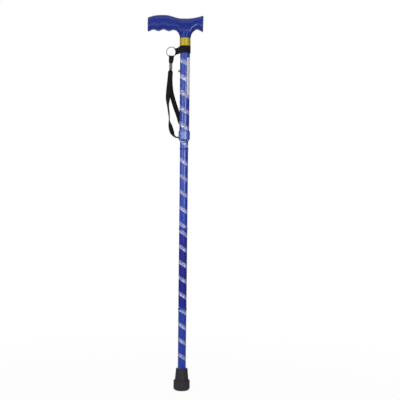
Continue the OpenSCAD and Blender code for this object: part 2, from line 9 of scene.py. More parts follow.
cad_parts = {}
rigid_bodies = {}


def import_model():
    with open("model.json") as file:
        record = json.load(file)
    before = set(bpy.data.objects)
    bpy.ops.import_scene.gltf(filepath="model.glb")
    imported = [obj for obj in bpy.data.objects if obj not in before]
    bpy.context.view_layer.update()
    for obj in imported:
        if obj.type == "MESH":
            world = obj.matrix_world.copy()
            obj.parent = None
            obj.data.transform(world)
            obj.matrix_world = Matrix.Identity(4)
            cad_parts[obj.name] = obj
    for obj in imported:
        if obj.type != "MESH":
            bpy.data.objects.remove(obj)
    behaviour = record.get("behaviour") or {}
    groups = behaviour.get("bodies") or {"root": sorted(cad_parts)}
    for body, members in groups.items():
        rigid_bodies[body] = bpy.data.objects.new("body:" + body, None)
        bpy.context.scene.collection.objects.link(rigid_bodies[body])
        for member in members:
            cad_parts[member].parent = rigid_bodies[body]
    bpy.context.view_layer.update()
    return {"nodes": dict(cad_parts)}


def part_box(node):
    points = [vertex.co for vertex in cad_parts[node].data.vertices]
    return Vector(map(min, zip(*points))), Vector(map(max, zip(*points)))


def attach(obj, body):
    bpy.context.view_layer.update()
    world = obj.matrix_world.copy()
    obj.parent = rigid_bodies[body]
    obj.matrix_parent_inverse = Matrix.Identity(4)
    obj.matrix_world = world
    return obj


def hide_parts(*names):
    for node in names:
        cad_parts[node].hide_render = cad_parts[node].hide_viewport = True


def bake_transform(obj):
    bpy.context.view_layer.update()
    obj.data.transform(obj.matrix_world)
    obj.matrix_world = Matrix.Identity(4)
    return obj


for leftover in list(bpy.data.objects):
    bpy.data.objects.remove(leftover)
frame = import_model()


# Studio: a plain pale floor under the tip and white all round. Soft boxes light the cane from the front, the
# back and above, and two oval lamps left and right of the camera show in the gloss alone. Dark cards and a
# dark cloth show in the gloss as its dark parts. The camera leans a little.
def linear(code):
    """Linear colour of an sRGB hex value."""
    parts = [int(code[k:k + 2], 16) / 255 for k in (1, 3, 5)]
    return [p / 12.92 if p <= 0.04045 else ((p + 0.055) / 1.055) ** 2.4 for p in parts] + [1.0]


def add(tree, kind, inputs=(), **settings):
    """A new node: its settings, then each input as a link from a socket or as a constant."""
    made = tree.nodes.new(kind)
    for name, value in settings.items():
        setattr(made, name, value)
    for key, value in dict(inputs).items():
        if isinstance(value, bpy.types.NodeSocket):
            tree.links.new(value, made.inputs[key])
        else:
            made.inputs[key].default_value = value
    return made


def blank(name):
    """A new material and its empty node tree."""
    material = bpy.data.materials.new(name)
    material.use_nodes = True
    material.node_tree.nodes.clear()
    return material, material.node_tree


def put(name, data):
    """A new object in the scene."""
    made = bpy.data.objects.new(name, data)
    scene.collection.objects.link(made)
    return made


def looked_at(tree):
    """A socket that is 1 where the camera, a mirror or a glass looks, and 0 for other light."""
    ray = add(tree, "ShaderNodeLightPath").outputs
    mirrored = add(tree, "ShaderNodeMath", {0: ray["Is Glossy Ray"], 1: ray["Is Transmission Ray"]},
                   operation="MAXIMUM")
    shown = add(tree, "ShaderNodeMath", {0: ray["Is Camera Ray"], 1: mirrored.outputs[0]},
                operation="MAXIMUM")
    return shown.outputs[0]


scene = bpy.context.scene
scene.view_settings.view_transform = "Standard"
mm = 0.001
white = (1.0, 1.0, 1.0, 1.0)

room_level = 0.4
world = bpy.data.worlds.new("white_room")
world.use_nodes = True
scene.world = world
tree = world.node_tree
tree.nodes.clear()
level = add(tree, "ShaderNodeMath", {0: looked_at(tree), 1: 1 - room_level, 2: room_level},
            operation="MULTIPLY_ADD")
sky = add(tree, "ShaderNodeBackground", {"Color": white, "Strength": level.outputs[0]})
add(tree, "ShaderNodeOutputWorld", {"Surface": sky.outputs[0]})

floor_half = 6.0
floor_drop = 0.1 * mm
floor_glow = 0.95
shadow_reach = 0.25
fade_reach = 1.1
corners = [(x * floor_half, y * floor_half, -floor_drop) for x, y in ((-1, -1), (1, -1), (1, 1), (-1, 1))]
floor_mesh = bpy.data.meshes.new("floor")
floor_mesh.from_pydata(corners, [], [(0, 1, 2, 3)])
floor = put("floor", floor_mesh)
# Pale matt paper: nearly white round the tip, where it keeps a faint shadow, and white farther off
paper, tree = blank("pale_floor_paper")
place = add(tree, "ShaderNodeTexCoord")
off = add(tree, "ShaderNodeVectorMath", {0: place.outputs["Object"]}, operation="LENGTH")
pale = add(tree, "ShaderNodeMapRange", {"Value": off.outputs["Value"], "From Min": shadow_reach,
                                        "From Max": fade_reach, "To Min": floor_glow, "To Max": 1.0})
glow_share = add(tree, "ShaderNodeMath", {0: looked_at(tree), 1: pale.outputs[0]}, operation="MULTIPLY")
matt = add(tree, "ShaderNodeBsdfDiffuse", {"Color": linear("#F4F4F4")})
glow = add(tree, "ShaderNodeEmission", {"Color": white, "Strength": 1.0})
both = add(tree, "ShaderNodeMixShader", {0: glow_share.outputs[0], 1: matt.outputs[0], 2: glow.outputs[0]})
add(tree, "ShaderNodeOutputMaterial", {"Surface": both.outputs[0]})
floor_mesh.materials.append(paper)

# Dull felt: nearly black, it only shows as the dark part of a reflection
felt, tree = blank("dark_felt")
matt = add(tree, "ShaderNodeBsdfDiffuse", {"Color": linear("#2A2A2E")})
add(tree, "ShaderNodeOutputMaterial", {"Surface": matt.outputs[0]})
card_z = (0, 1.9)
right_card_x = 0.8
right_card_y = (-0.62, 2.6)
left_card_x = -0.9
left_card_y = (0.1, 2.6)
handle_card_x = (-0.9, 0.9)
handle_card_y = -2.7
handle_card_z = (1.0, 2.4)
cloth_rise = 2 * mm
cloth_near = 0.2
cloth_far = 2.3
cloth_top = 0.34
cloth_line = ((cloth_near, cloth_rise), (cloth_far, cloth_rise), (cloth_far, cloth_top))
cloth_turns = np.radians(np.linspace(-100, 100, 21))
reflected = {
    # name: rows of points over its sheet
    "right_card": [[(right_card_x, y, z) for z in card_z] for y in right_card_y],
    "left_card": [[(left_card_x, y, z) for z in card_z] for y in left_card_y],
    "handle_card": [[(x, handle_card_y, z) for z in handle_card_z] for x in handle_card_x],
    "front_cloth": [[(r * math.sin(a), -r * math.cos(a), z) for r, z in cloth_line] for a in cloth_turns],
}
for name, rows in reflected.items():
    size = len(rows[0])
    cloth = bpy.data.meshes.new(name)
    cloth.from_pydata([p for row in rows for p in row], [],
                      [(i * size + k, i * size + k + 1, (i + 1) * size + k + 1, (i + 1) * size + k)
                       for i in range(len(rows) - 1) for k in range(size - 1)])
    cloth.materials.append(felt)
    card = put(name, cloth)
    card.visible_camera = False
    card.visible_diffuse = False
    card.visible_shadow = False

light_aim = Vector((0, 0, 0.45))
soft_boxes = {
    # name: turn from the camera's side in degrees (right is plus), then in metres its distance, its height
    # above the floor, how wide and how tall it is, and its power in watts
    "key_box": (-14, 2.2, 0.7, 0.9, 1.6, 29),
    "right_gloss": (22, 2.2, 0.655, 1.3, 0.59, 11),
    "left_gloss": (-41, 2.2, 0.69, 0.94, 0.4, 4.2),
    "back_box": (160, 2.2, 0.9, 1.4, 1.6, 18),
    "top_box": (-10, 1.6, 2.0, 1.2, 1.2, 4),
}
for name, (turn, away, height, width, tall, power) in soft_boxes.items():
    # Two are for the gloss alone, and the others light without a glare of their own
    for_gloss = name.endswith("gloss")
    lamp = bpy.data.lights.new(name, "AREA")
    lamp.shape = "ELLIPSE" if for_gloss else "RECTANGLE"
    lamp.size = width
    lamp.size_y = tall
    lamp.energy = power
    box = put(name, lamp)
    a = math.radians(turn)
    box.location = (away * math.sin(a), -away * math.cos(a), height)
    box.rotation_euler = (light_aim - box.location).to_track_quat("-Z", "Y").to_euler()
    box.visible_camera = False
    box.visible_diffuse = not for_gloss
    box.visible_glossy = for_gloss

image_side = 400
camera_away = 2.4
camera_height = 456.7 * mm
focal_pixels = 1071.5
pan = 0.01539
tilt = 0.01215
lean = 0.01071
view = bpy.data.cameras.new("camera")
view.sensor_width = 36
view.lens = view.sensor_width * focal_pixels / image_side
camera = put("camera", view)
scene.camera = camera
forward = Vector((math.sin(pan) * math.cos(tilt), math.cos(pan) * math.cos(tilt), -math.sin(tilt)))
camera.location = (0, -camera_away, camera_height)
camera.rotation_mode = "QUATERNION"
camera.rotation_quaternion = forward.to_track_quat("-Z", "Y") @ Quaternion((0, 0, 1), lean)


# Tubes: drawn aluminium, the upper one with a row of holes for the height button. Each is enamelled blue
# and wound with one left-handed stripe of crinkled silver foil, which starts afresh on every section.
def dress(material, *nodes):
    """Gives CAD nodes a finish."""
    for node in nodes:
        frame["nodes"][node].material_slots[0].material = material


stripe_edge = 0.25 * mm
foil_cell = 3.2 * mm
foil_grain = 0.9 * mm
foil_relief = 0.1 * mm
grain_share = 0.5
# The foil is painted darker by this much between these shares of half a stripe, counted upwards from its
# middle: painted shade
painted_shade_from = -0.1
painted_shade_to = 0.3
painted_shade_depth = 0.28
# Foil tones: the light and dark facet tones are painted glints and painted shade, and the palest is a painted
# glint
foil_tones_with_painted_glint = ((0.1, "#666990"), (0.5, "#8387B1"), (0.85, "#9599C3"), (0.97, "#C2C6E6"))
foil_metal = 0.12
foil_rough = 0.46
enamel_rough = 0.16
draw_line = 1.6 * mm
draw_length = 500 * mm
tube_stripes = {
    # node: where a stripe crosses the button's side, the pitch and the height of the stripe, in millimetres,
    # and the tube's two blues, which differ a little from batch to batch
    "upper_tube": (743, 35.55, 10.8, "#213590", "#2F49A6"),
    "inner_tube": (563.4, 35.6, 9, "#253C9A", "#3450AE"),
    "second_tube": (378.8, 35.6, 9, "#22379A", "#2D47AA"),
    "third_tube": (188, 34.85, 9, "#212784", "#2A3190"),
    "fourth_tube": (51.4, 34, 9, "#243596", "#344BA8"),
}
for tube, (stripe_z, pitch, stripe_h, deep_blue, pale_blue) in tube_stripes.items():
    # Enamelled aluminium with hot-stamped foil: a clear gloss over deep blue with faint draw lines along the
    # tube, which are partly painted reflection streaks, and a foil whose small facets carry painted glints
    # and painted shade, with painted shade on its upper half
    enamel, tree = blank("foiled_enamel_" + tube)
    place = add(tree, "ShaderNodeTexCoord")
    axes = add(tree, "ShaderNodeSeparateXYZ", {0: place.outputs["Object"]})
    turn = add(tree, "ShaderNodeMath", {0: axes.outputs["Y"], 1: axes.outputs["X"]}, operation="ARCTAN2")
    climb = add(tree, "ShaderNodeMath",
                {0: axes.outputs["Z"], 1: 1 / (pitch * mm), 2: 0.5 - stripe_z / pitch},
                operation="MULTIPLY_ADD")
    wound = add(tree, "ShaderNodeMath", {0: turn.outputs[0], 1: 0.5 / math.pi, 2: climb.outputs[0]},
                operation="MULTIPLY_ADD")
    offset = add(tree, "ShaderNodeMath", {0: wound.outputs[0], 1: 0.5, 2: -0.5}, operation="WRAP")
    apart = add(tree, "ShaderNodeMath", {0: offset.outputs[0]}, operation="ABSOLUTE")
    half = stripe_h / pitch / 2
    soft = stripe_edge / (pitch * mm)
    stripe = add(tree, "ShaderNodeMapRange", {"Value": apart.outputs[0], "From Min": half + soft,
                                              "From Max": half - soft})
    unrolled = add(tree, "ShaderNodeCombineXYZ", {"X": turn.outputs[0], "Y": axes.outputs["Z"]})
    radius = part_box(tube)[1].x
    lines = add(tree, "ShaderNodeMapping", {"Vector": unrolled.outputs[0],
                                            "Scale": (radius / draw_line, 1 / draw_length, 1)})
    # The lengthwise streaks between the two blues are partly draw lines and partly painted reflection streaks
    draw_lines_and_painted_streaks = add(tree, "ShaderNodeTexNoise", {"Vector": lines.outputs[0], "Scale": 1.0, "Detail": 2.0})
    ground = add(tree, "ShaderNodeMix", {0: draw_lines_and_painted_streaks.outputs["Fac"], 6: linear(deep_blue), 7: linear(pale_blue)},
                 data_type="RGBA")
    facets = add(tree, "ShaderNodeTexVoronoi", {"Vector": place.outputs["Object"], "Scale": 1 / foil_cell,
                                                "Randomness": 1.0})
    # Painted glints and painted shade: each small facet of the foil gets a lighter or darker tone of its own
    facet_painted_sparkle = add(tree, "ShaderNodeSeparateColor", {0: facets.outputs["Color"]})
    grain = add(tree, "ShaderNodeTexNoise", {"Vector": place.outputs["Object"], "Scale": 1 / foil_grain,
                                             "Detail": 3.0})
    painted_sparkle_and_relief = add(tree, "ShaderNodeMath", {0: grain.outputs["Fac"], 1: grain_share, 2: facet_painted_sparkle.outputs[0]},
                 operation="MULTIPLY_ADD")
    # Painted shade: the upper half of each foil stripe is painted darker than its lower half
    upper_painted_shade = add(tree, "ShaderNodeMapRange", {"Value": offset.outputs[0], "From Min": painted_shade_from * half,
                                              "From Max": painted_shade_to * half, "To Max": painted_shade_depth})
    shade = add(tree, "ShaderNodeMath", {0: painted_sparkle_and_relief.outputs[0], 1: upper_painted_shade.outputs[0]}, operation="SUBTRACT")
    foil = add(tree, "ShaderNodeValToRGB", {0: shade.outputs[0]})
    tones = foil.color_ramp.elements
    for position, tone_code in foil_tones_with_painted_glint:
        tones.new(position).color = linear(tone_code)
    tones.remove(tones[-1])
    tones.remove(tones[0])
    colour = add(tree, "ShaderNodeMix", {0: stripe.outputs[0], 6: ground.outputs[2], 7: foil.outputs[0]},
                 data_type="RGBA")
    metal = add(tree, "ShaderNodeMath", {0: stripe.outputs[0], 1: foil_metal}, operation="MULTIPLY")
    rough = add(tree, "ShaderNodeMath", {0: stripe.outputs[0], 1: foil_rough - enamel_rough, 2: enamel_rough},
                operation="MULTIPLY_ADD")
    relief = add(tree, "ShaderNodeMath", {0: stripe.outputs[0], 1: painted_sparkle_and_relief.outputs[0]}, operation="MULTIPLY")
    bump = add(tree, "ShaderNodeBump", {"Strength": 0.35, "Distance": foil_relief,
                                        "Height": relief.outputs[0]})
    shader = add(tree, "ShaderNodeBsdfPrincipled", {
        "Base Color": colour.outputs[2], "Metallic": metal.outputs[0], "Roughness": rough.outputs[0],
        "Specular IOR Level": 0.5, "Normal": bump.outputs[0]})
    add(tree, "ShaderNodeOutputMaterial", {"Surface": shader.outputs[0]})
    dress(enamel, tube)


# Fold joints: a socket bush glued in the foot of each section and a tapered plug pressed into the head of the
# next, both moulded in blue nylon. Their two rims make the bead that shows at a closed joint.
def mottled(name, patch, detail, dark, pale, rough, sockets=()):
    """A finish in soft patches of two tones. Where its roughness is a pair, it follows the patches too."""
    material, tree = blank(name)
    place = add(tree, "ShaderNodeTexCoord")
    patches = add(tree, "ShaderNodeTexNoise", {"Vector": place.outputs["Object"], "Scale": 1 / patch,
                                               "Detail": detail})
    colour = add(tree, "ShaderNodeMix", {0: patches.outputs["Fac"], 6: linear(dark), 7: linear(pale)},
                 data_type="RGBA")
    if isinstance(rough, tuple):
        spread = add(tree, "ShaderNodeMapRange", {"Value": patches.outputs["Fac"], "To Min": rough[0],
                                                  "To Max": rough[1]})
        rough = spread.outputs[0]
    shader = add(tree, "ShaderNodeBsdfPrincipled", {"Base Color": colour.outputs[2], "Roughness": rough,
                                                    **dict(sockets)})
    add(tree, "ShaderNodeOutputMaterial", {"Surface": shader.outputs[0]})
    return material


# Moulded nylon: a soft gloss with a faint cloudiness in its colour
cloud_size = 6 * mm
nylon = mottled("moulded_blue_nylon", cloud_size, 3, "#2238A2", "#3049B4", 0.2, {"Specular IOR Level": 0.5})
joint_numbers = (1, 2, 3)
for number in joint_numbers:
    dress(nylon, f"socket_bush_{number}", f"joint_plug_{number}")


# Elastic cord: a braided shock cord runs through all four sections, knotted on a moulded disc at each end.
# In a joint it stretches as the plug is drawn out, and bends round to the next section as that swings up.
weld = 0.0001 * mm
sharp_edge = math.radians(40)


def round_angles(count):
    """Angles of that many points round a circle."""
    return np.linspace(0, 2 * math.pi, count, endpoint=False)


def skin(name, rows, material, around=False):
    """Closed mesh through rows of section points. Its last row joins the first, or its ends are capped."""
    rows = [[Vector(p) for p in row] for row in rows]
    count, size = len(rows), len(rows[0])
    middles = [Vector(np.mean(row, 0)) for row in rows]
    steps = [(middles[i] - middles[i - 1]).length for i in range(1, count)]
    run = np.cumsum([0] + steps + [steps[-1]])
    widest = max(rows, key=lambda row: sum((row[k] - row[k - 1]).length for k in range(size)))
    girth = np.cumsum([0] + [(widest[(k + 1) % size] - widest[k]).length for k in range(size)])
    shape = bmesh.new()
    layer = shape.loops.layers.uv.new("run")
    points = [[shape.verts.new(p) for p in row] for row in rows]
    for i in range(count if around else count - 1):
        j = (i + 1) % count
        for k in range(size):
            n = (k + 1) % size
            face = shape.faces.new((points[i][k], points[i][n], points[j][n], points[j][k]))
            for loop, (a, b) in zip(face.loops, ((i, k), (i, k + 1), (i + 1, k + 1), (i + 1, k))):
                loop[layer].uv = (run[a], girth[b])
    if not around:
        shape.faces.new(list(reversed(points[0])))
        shape.faces.new(points[-1])
    bmesh.ops.remove_doubles(shape, verts=shape.verts, dist=weld)
    bmesh.ops.dissolve_degenerate(shape, edges=shape.edges, dist=weld)
    bmesh.ops.recalc_face_normals(shape, faces=shape.faces)
    if shape.calc_volume(signed=True) < 0:
        bmesh.ops.reverse_faces(shape, faces=shape.faces)
    mesh = bpy.data.meshes.new(name)
    shape.to_mesh(mesh)
    shape.free()
    mesh.shade_smooth()
    mesh.set_sharp_from_angle(angle=sharp_edge)
    mesh.materials.append(material)
    return put(name, mesh)


# Braided polyester over rubber: dark, matt, with crossing strands that show as small raised diamonds
braid, tree = blank("braided_elastic")
strand = 1.6 * mm
strand_relief = 0.3 * mm
lay = add(tree, "ShaderNodeUVMap", uv_map="run")
along = add(tree, "ShaderNodeSeparateXYZ", {0: lay.outputs[0]})
waves = []
for hand in (1, -1):
    slope = add(tree, "ShaderNodeMath", {0: along.outputs["Y"], 1: hand * 2 * math.pi / strand},
                operation="MULTIPLY")
    phase = add(tree, "ShaderNodeMath", {0: along.outputs["X"], 1: 2 * math.pi / strand, 2: slope.outputs[0]},
                operation="MULTIPLY_ADD")
    waves.append(add(tree, "ShaderNodeMath", {0: phase.outputs[0]}, operation="SINE"))
cross = add(tree, "ShaderNodeMath", {0: waves[0].outputs[0], 1: waves[1].outputs[0]}, operation="MAXIMUM")
share = add(tree, "ShaderNodeMapRange", {"Value": cross.outputs[0], "From Min": -1.0, "From Max": 1.0})
colour = add(tree, "ShaderNodeMix", {0: share.outputs[0], 6: linear("#0C0C10"), 7: linear("#26262E")},
             data_type="RGBA")
bump = add(tree, "ShaderNodeBump", {"Strength": 0.7, "Distance": strand_relief, "Height": share.outputs[0]})
shader = add(tree, "ShaderNodeBsdfPrincipled", {"Base Color": colour.outputs[2], "Roughness": 0.8,
                                                "Normal": bump.outputs[0]})
add(tree, "ShaderNodeOutputMaterial", {"Surface": shader.outputs[0]})
dress(braid, "cord_upper", "cord_second", "cord_third", "cord_fourth")

# Moulded black nylon of the inside pieces: matt, with a fine moulded grain
grain_size = 0.8 * mm
black_nylon = mottled("moulded_black_nylon", grain_size, 2, "#171A20", "#2A2E36", 0.55)
dress(black_nylon, "cord_anchor_top", "cord_anchor_bottom", "guide_cap", "lock_collet")

cord_sides = 12
cord_rows = 33
pivot_rise = 5 * mm
nose_hold = 0.6 * mm
# An open joint makes these lengths about so many times longer, and there the strands have their true size
drawn_out = {"cord_stretch": 3, "cord_bend": 4}
sections = ("inner", "second", "third", "fourth")
for number in joint_numbers:
    low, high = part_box(f"cord_link_{number}")
    cord_r = (high.x - low.x) / 2
    pivot_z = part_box(f"socket_bush_{number}")[0].z + pivot_rise
    bend_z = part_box(f"joint_plug_{number}")[1].z - nose_hold
    spans = {
        # length of cord: lowest and highest point, and share of the radius, so that one lies in another
        "cord_stretch": (pivot_z, high.z, 1),
        "cord_bend": (pivot_z, bend_z, 0.97),
        "cord_root": (low.z, bend_z, 0.94),
    }
    cords = {}
    for name, (foot, head, share) in spans.items():
        r = share * cord_r
        circle = [(r * math.cos(a), r * math.sin(a)) for a in round_angles(cord_sides)]
        rows = [[(x, y, z) for x, y in circle] for z in np.linspace(foot, head, cord_rows)]
        cord = skin(f"{name}_{number}", rows, braid)
        for corner in cord.data.uv_layers["run"].data:
            corner.uv.x *= drawn_out.get(name, 1)
        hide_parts(f"cord_link_{number}")
        cords[name] = cord
    above, link, below = sections[number - 1], f"link_{number}", sections[number]
    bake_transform(cords["cord_stretch"])
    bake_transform(cords["cord_bend"])
    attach(cords["cord_root"], below)


# Rubber tip: one moulded piece of carbon-black rubber, pushed over the lowest tube down to a steel washer.
# Its collar tapers up to the rim, its foot has a round ground edge, and ring grooves give it hold.
def arc(cx, cz, r, start, end, steps=8):
    """Points of an arc in a profile, angles in degrees."""
    angles = np.radians(np.linspace(start, end, steps + 1))
    return [(cx + r * math.cos(a), cz + r * math.sin(a)) for a in angles]


def lathe(name, profile, material, sides=96):
    """Solid of revolution about Z from a closed profile of radius and height, in millimetres."""
    rows = [[(r * mm * math.cos(a), r * mm * math.sin(a), z * mm) for r, z in profile]
            for a in round_angles(sides)]
    return skin(name, rows, material, around=True)


# Moulded rubber: matt dark grey, paler where it has bloomed, with a slightly pitted skin
bloom_size = 9 * mm
pit_size = 0.7 * mm
pit_depth = 0.15 * mm
rubber = mottled("moulded_grey_rubber", bloom_size, 4, "#1F1E22", "#38373C", 0.62,
                 {"Specular IOR Level": 0.2})
tree = rubber.node_tree
place = add(tree, "ShaderNodeTexCoord")
pits = add(tree, "ShaderNodeTexNoise", {"Vector": place.outputs["Object"], "Scale": 1 / pit_size,
                                        "Detail": 2.0})
bump = add(tree, "ShaderNodeBump", {"Strength": 0.3, "Distance": pit_depth, "Height": pits.outputs["Fac"]})
tree.links.new(bump.outputs[0], tree.nodes["Principled BSDF"].inputs["Normal"])

# The sizes of turned pieces and of webbing are in millimetres, here and below
low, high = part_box("rubber_tip")
tip_h = high.z / mm
foot_r = high.x / mm
foot_h = 24
ground_round = 7.5
shoulder = 2
shoulder_in = 0.2
collar_low_r = 15.2
collar_top_r = 13
fillet = 1
fillet_rise = 0.1
rim = 1.2
press_gap = 0.05
tip_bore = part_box("fourth_tube")[1].x / mm + press_gap
tip_floor = 14
grooves = 3
groove_w = 1.6
groove_depth = 1.5
groove_slope = 0.3
groove_step = (foot_r - ground_round - 2 * groove_w) / grooves
ground = [(0, 0)]
for number in range(1, grooves + 1):
    r = number * groove_step
    ground += [(r, 0), (r + groove_slope, groove_depth),
               (r + groove_w - groove_slope, groove_depth), (r + groove_w, 0)]
tip = lathe("rubber_tip_foot", ground
            + arc(foot_r - ground_round, ground_round, ground_round, -90, 0, 14)
            + arc(foot_r - shoulder - shoulder_in, foot_h - shoulder, shoulder, 0, 80)
            + arc(collar_low_r + fillet, foot_h + fillet + fillet_rise, fillet, 255, 185, 6)
            + arc(collar_top_r - rim, tip_h - rim, rim, 8, 90)
            + [(tip_bore, tip_h), (tip_bore, tip_floor), (0, tip_floor)], rubber)
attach(tip, "fourth")
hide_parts("rubber_tip")

# Plain steel of the hidden washer, handle pin and spring leaf: grey, brushed, a little dull
steel, tree = blank("plain_rolled_steel")
brush_size = 0.5 * mm
place = add(tree, "ShaderNodeTexCoord")
brush = add(tree, "ShaderNodeTexNoise", {"Vector": place.outputs["Object"], "Scale": 1 / brush_size,
                                         "Detail": 2.0})
rough = add(tree, "ShaderNodeMapRange", {"Value": brush.outputs["Fac"], "To Min": 0.25, "To Max": 0.45})
shader = add(tree, "ShaderNodeBsdfPrincipled", {"Base Color": linear("#9A9A9A"), "Metallic": 1.0,
                                                "Roughness": rough.outputs[0]})
add(tree, "ShaderNodeOutputMaterial", {"Surface": shader.outputs[0]})
dress(steel, "tip_washer", "handle_pin")


# Height button: a turned brass pin with a domed head, pressed out through the holes by a bent steel leaf
# behind it. It is pushed in, and the leaf gives way, to slide the inner tube to the next hole.
copy_weld = 0.01 * mm


def copy_of(node, name, material):
    """A copy of a CAD node as a piece of its own, with its loose triangles merged."""
    piece = put(name, frame["nodes"][node].data.copy())
    shape = bmesh.new()
    shape.from_mesh(piece.data)
    bmesh.ops.remove_doubles(shape, verts=shape.verts, dist=copy_weld)
    shape.to_mesh(piece.data)
    shape.free()
    piece.data.materials.clear()
    piece.data.materials.append(material)
    return piece


# Turned brass: warm, dull gold, with fine rings from the lathe
brass, tree = blank("turned_brass")
tool_mark = 0.35 * mm
place = add(tree, "ShaderNodeTexCoord")
marks = add(tree, "ShaderNodeTexWave",
            {"Vector": place.outputs["Object"], "Scale": 1 / tool_mark / (2 * math.pi), "Distortion": 0.5},
            bands_direction="X")
colour = add(tree, "ShaderNodeMix", {0: marks.outputs["Fac"], 6: linear("#A08F55"), 7: linear("#C6B67A")},
             data_type="RGBA")
shader = add(tree, "ShaderNodeBsdfPrincipled", {"Base Color": colour.outputs[2], "Metallic": 0.85,
                                                "Roughness": 0.35})
add(tree, "ShaderNodeOutputMaterial", {"Surface": shader.outputs[0]})

low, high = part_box("height_button")
button_z = (low.z + high.z) / 2
button_flange_r = (high.z - low.z) / 2 / mm
button_r = 2.9
button_tip = -low.x / mm
button_root = -high.x / mm
flange_t = 0.8
dome = 0.8 * button_r
button_sides = 40
flange = [(0, button_root), (button_flange_r, button_root), (button_flange_r, button_root + flange_t),
          (button_r, button_root + flange_t)]
head = [(button_r * math.cos(a), button_tip - dome + dome * math.sin(a))
        for a in np.linspace(0, math.pi / 2, 10)]
button = lathe("height_button_pin", flange + head, brass, button_sides)
button.data.transform(Matrix.Translation((0, 0, button_z)) @ Matrix.Rotation(math.radians(-90), 4, "Y"))
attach(button, "height_button")
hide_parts("height_button")

leaf = copy_of("button_spring", "spring_leaf", steel)
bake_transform(leaf)
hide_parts("button_spring")


# Lock nut: a barrel of tinted plastic that screws on the foot of the upper tube and squeezes a split collet
# on the inner one. It has a round shoulder, a sloped foot and shallow flutes for the fingers.

# Tinted plastic: paler than the enamel, glossy, with the light lines of its flutes
flow_size = 5 * mm
tinted = mottled("moulded_tinted_plastic", flow_size, 3, "#344BA4", "#465FB4", 0.25,
                 {"Specular IOR Level": 0.9, "Coat Weight": 0.6, "Coat Roughness": 0.2})
low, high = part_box("lock_nut")
nut_z = low.z / mm
nut_h = high.z / mm - nut_z
nut_r = high.x / mm
tube_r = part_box("upper_tube")[1].x / mm
inner_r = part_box("inner_tube")[1].x / mm
run_gap = 0.3
nut_lip = 1.2
nut_slope = 4.5
nut_round = 3
nut_seat = 9
foot_edge = 2
flutes = 24
flute_depth = 0.25
flute_rows = 12
flute_sides = 8
flute_margin = 0.5
wall_margin = 1
wall_low = nut_slope + wall_margin
wall_high = nut_h - nut_round - wall_margin
near_outside = 0.01
nut_profile = ([(inner_r + run_gap, 0), (inner_r + nut_lip, 0)]
               + arc(nut_r - foot_edge, nut_slope, foot_edge, -50, 0)
               + [(nut_r, z) for z in np.linspace(wall_low, wall_high, flute_rows)]
               + arc(nut_r - nut_round, nut_h - nut_round, nut_round, 0, 70)
               + [(tube_r + run_gap, nut_h), (tube_r + run_gap, nut_seat), (inner_r + run_gap, nut_lip)])
nut = lathe("lock_nut_barrel", [(r, nut_z + z) for r, z in nut_profile], tinted, flutes * flute_sides)
for vertex in nut.data.vertices:
    out = math.hypot(vertex.co.x, vertex.co.y)
    z = vertex.co.z / mm - nut_z
    level = np.clip(min(z - wall_low, wall_high - z) - flute_margin, 0, 1)
    if out > (nut_r - near_outside) * mm and level > 0:
        wave = 0.5 + 0.5 * math.cos(flutes * math.atan2(vertex.co.y, vertex.co.x))
        cut = 1 - level * flute_depth * wave ** 2 / nut_r
        vertex.co.x *= cut
        vertex.co.y *= cut
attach(nut, "lock_nut")
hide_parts("lock_nut")


# Gold band: a short sleeve of gold-plated brass between the handle's neck and the strap, with a rolled edge
# at its top and its foot. It hides the pin that holds the handle.

# Gold plating: bright yellow metal with darker upright streaks of painted reflection
gold, tree = blank("gold_plated_brass")
painted_streak_width = 2.4 * mm
painted_streaks_a_metre = 12
gold_and_painted_reflection_tones = ((0.33, "#A08C1C"), (0.55, "#C0AE2A"))
place = add(tree, "ShaderNodeTexCoord")
axes = add(tree, "ShaderNodeSeparateXYZ", {0: place.outputs["Object"]})
turn = add(tree, "ShaderNodeMath", {0: axes.outputs["Y"], 1: axes.outputs["X"]}, operation="ARCTAN2")
unrolled = add(tree, "ShaderNodeCombineXYZ", {"X": turn.outputs[0], "Y": axes.outputs["Z"]})
lines = add(tree, "ShaderNodeMapping", {"Vector": unrolled.outputs[0],
                                        "Scale": (tube_r * mm / painted_streak_width, painted_streaks_a_metre, 1)})
# Painted reflection: upright streaks of darker gold round the band, which the roughness follows too
painted_reflection_streaks = add(tree, "ShaderNodeTexNoise", {"Vector": lines.outputs[0], "Scale": 1.0, "Detail": 3.0})
tint = add(tree, "ShaderNodeValToRGB", {0: painted_reflection_streaks.outputs["Fac"]})
for element, (position, tone_code) in zip(tint.color_ramp.elements, gold_and_painted_reflection_tones):
    element.position = position
    element.color = linear(tone_code)
rough = add(tree, "ShaderNodeMapRange", {"Value": painted_reflection_streaks.outputs["Fac"], "To Min": 0.4, "To Max": 0.52})
shader = add(tree, "ShaderNodeBsdfPrincipled", {"Base Color": tint.outputs[0], "Metallic": 0.2,
                                                "Roughness": rough.outputs[0]})
add(tree, "ShaderNodeOutputMaterial", {"Surface": shader.outputs[0]})
low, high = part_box("handle_band")
band_low = low.z / mm
band_top = high.z / mm
band_r = high.x / mm
band_t = 1.15
roll = band_t / 2
crease = 2.2 * roll
crease_r = 0.17
band = lathe("gold_sleeve", [(tube_r + press_gap, band_low + roll)]
             + arc(band_r - roll, band_low + roll, roll, 180, 360)
             + arc(band_r, band_low + crease, crease_r, 270, 180, 4)
             + arc(band_r, band_top - crease, crease_r, 180, 90, 4)
             + arc(band_r - roll, band_top - roll, roll, 0, 180)
             + [(tube_r + press_gap, band_top - roll)], gold)
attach(band, "upper")
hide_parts("handle_band")


# Handle: one moulding of glossy blue plastic, with three finger grooves under the long grip, a saddle over
# the tube and a horn at the short end. Its spigot goes into the upper tube, where a pin holds it.

